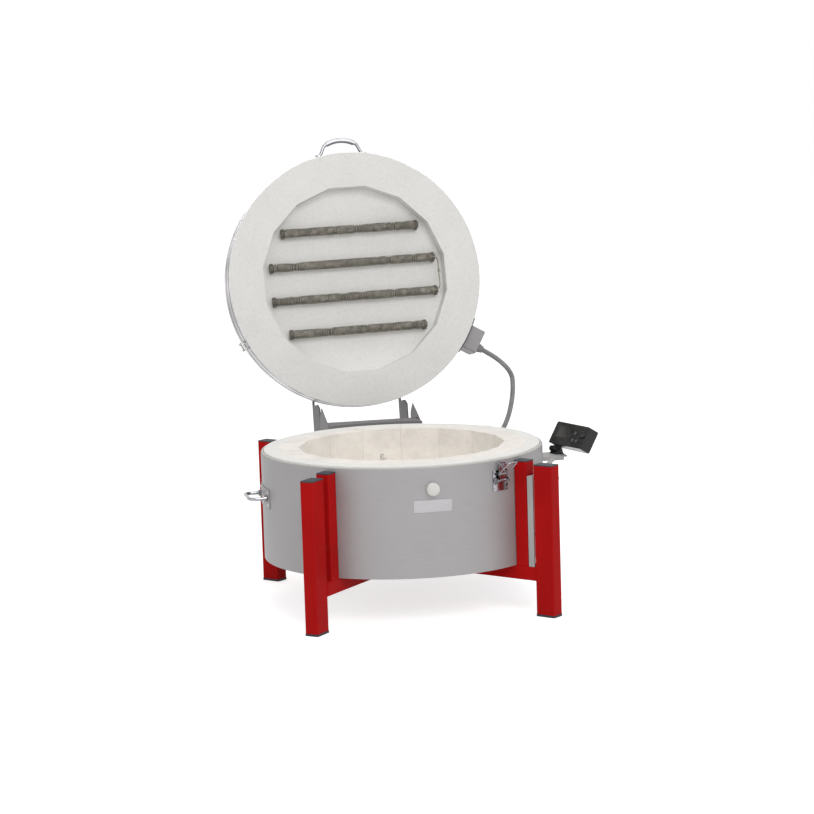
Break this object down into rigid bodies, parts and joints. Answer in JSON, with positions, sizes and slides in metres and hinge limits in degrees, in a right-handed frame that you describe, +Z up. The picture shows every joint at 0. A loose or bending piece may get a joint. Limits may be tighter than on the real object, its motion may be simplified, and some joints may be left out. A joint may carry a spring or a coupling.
{
  "type": "top-loading glass fusing kiln",
  "caption": "Round top-loading glass fusing kiln on a four-legged tube frame, with a hinged lid that holds the heating elements, a toggle latch and a tilting controller.",
  "frame": {"origin": "middle of the whole kiln's footprint box, lid open and without the conduit, at floor level", "axes": "+Z up, -Y towards the kiln's front, +X towards its controller; the lid hinges about X at the back"},
  "size_m": [1.0248, 1.246, 1.3252],
  "materials": {
    "stainless": "brushed stainless sheet",
    "red_paint": "gloss red enamel",
    "cap_plastic": "dark grey plastic",
    "firebrick": "porous insulating brick",
    "fibre": "white fibre board",
    "recess_fibre": "light grey fibre board",
    "blanket": "white ceramic wool",
    "seal": "dark edge seal",
    "white_ceramic": "plain fired ceramic",
    "tube_ceramic": "heat-darkened ceramic",
    "heating_wire": "oxidised resistance wire",
    "chromed": "bright chrome",
    "zinc": "zinc plated",
    "grey_sheet": "grey powder coat",
    "light_sheet": "light grey powder coat",
    "plate_metal": "satin aluminium, bare",
    "black_metal": "black powder coat",
    "case_black": "black moulded plastic",
    "window_black": "dark display window",
    "key_grey": "grey rubbery plastic",
    "grey_plastic": "grey plastic",
    "board_green": "circuit board",
    "relay_plastic": "dark grey moulding",
    "porcelain": "glazed porcelain block"
  },
  "bodies": {
    "kiln": {"drum_shell": "stainless", "drum_base": "stainless", "base_board": "fibre", "chamber_floor": "firebrick", "wall_bricks": "firebrick", "wall_blanket": "blanket", "rim_ring": "fibre", "rim_seal": "seal", "label_plate": "plate_metal", "label_rivets": "zinc", "thermocouple": "white_ceramic", "thermocouple_head": "grey_plastic", "outer_legs": "red_paint", "leg_uprights": "red_paint", "floor_beams": "red_paint", "tube_caps": "cap_plastic", "leg_feet": "cap_plastic", "tie_bolts": "zinc", "handle_plates": "stainless", "side_handles": "chromed", "latch_base": "zinc", "hinge_console": "grey_sheet", "hinge_pin": "zinc", "rear_box": "grey_sheet", "rear_box_cap": "grey_sheet", "relay": "relay_plastic", "rear_glands": "grey_plastic", "controller_shelf": "light_sheet", "controller_cradle": "black_metal", "conduit": "grey_plastic"},
    "lid": {"lid_arms": "grey_sheet", "lid_pan": "stainless", "lid_block": "fibre", "recess_panel": "recess_fibre", "heater_tubes": "tube_ceramic", "tube_saddles": "white_ceramic", "heating_coils": "heating_wire", "element_leads": "heating_wire", "tension_bands": "stainless", "lid_bolts": "zinc", "lid_handle": "chromed", "handle_grip": "chromed", "lid_catch": "chromed", "terminal_plate": "light_sheet", "terminal_box": "grey_sheet", "terminal_cover": "grey_sheet", "terminal_block": "porcelain", "terminal_gland": "grey_plastic"},
    "peephole_plug": {"peephole_plug": "white_ceramic"},
    "latch_lever": {"latch_lever": "chromed"},
    "latch_loop": {"latch_loop": "chromed"},
    "controller": {"controller_back": "case_black", "controller_front": "case_black", "controller_window": "window_black", "circuit_board": "board_green"},
    "tilt_knob": {"tilt_knob": "cap_plastic"},
    "key_one": {"key_one": "key_grey"},
    "key_two": {"key_two": "key_grey"},
    "key_start": {"key_start": "key_grey"},
    "power_switch": {"power_switch": "case_black"}
  },
  "joints": [
    {"name": "lid_hinge", "type": "hinge", "parent": "kiln", "child": "lid", "pos_m": [-0.04837, 0.30327, 0.405], "axis": [1, 0, 0], "range_deg": [0, 100], "deforming": ["conduit"]},
    {"name": "plug_slide", "type": "slide", "parent": "kiln", "child": "peephole_plug", "axis": [0, -1, 0], "range_m": [0, 0.13]},
    {"name": "latch_lever_hinge", "type": "hinge", "parent": "kiln", "child": "latch_lever", "pos_m": [0.16178, -0.56072, 0.392], "axis": [0.866, 0.5, 0], "range_deg": [0, 115]},
    {"name": "latch_loop_hinge", "type": "hinge", "parent": "latch_lever", "child": "latch_loop", "pos_m": [0.16178, -0.56072, 0.409], "axis": [0.866, 0.5, 0], "range_deg": [-50, 10]},
    {"name": "controller_tilt", "type": "hinge", "parent": "kiln", "child": "controller", "pos_m": [0.41735, -0.20166, 0.411], "axis": [0.309, -0.9511, 0], "range_deg": [-8, 30]},
    {"name": "tilt_knob_turn", "type": "hinge", "parent": "kiln", "child": "tilt_knob", "pos_m": [0.41735, -0.20166, 0.411], "axis": [0.309, -0.9511, 0], "range_deg": [0, 270]},
    {"name": "power_switch_rock", "type": "hinge", "parent": "controller", "child": "power_switch", "pos_m": [0.47052, -0.31162, 0.46578], "axis": [0.309, -0.9511, 0], "range_deg": [0, 14]},
    {"name": "key_one_press", "type": "slide", "parent": "controller", "child": "key_one", "axis": [0.8152, 0.2649, -0.515], "range_m": [0, 0.0012], "stiffness_N_per_m": 400},
    {"name": "key_two_press", "type": "slide", "parent": "controller", "child": "key_two", "axis": [0.8152, 0.2649, -0.515], "range_m": [0, 0.0012], "stiffness_N_per_m": 400},
    {"name": "key_start_press", "type": "slide", "parent": "controller", "child": "key_start", "axis": [0.8152, 0.2649, -0.515], "range_m": [0, 0.0012], "stiffness_N_per_m": 400}
  ]
}
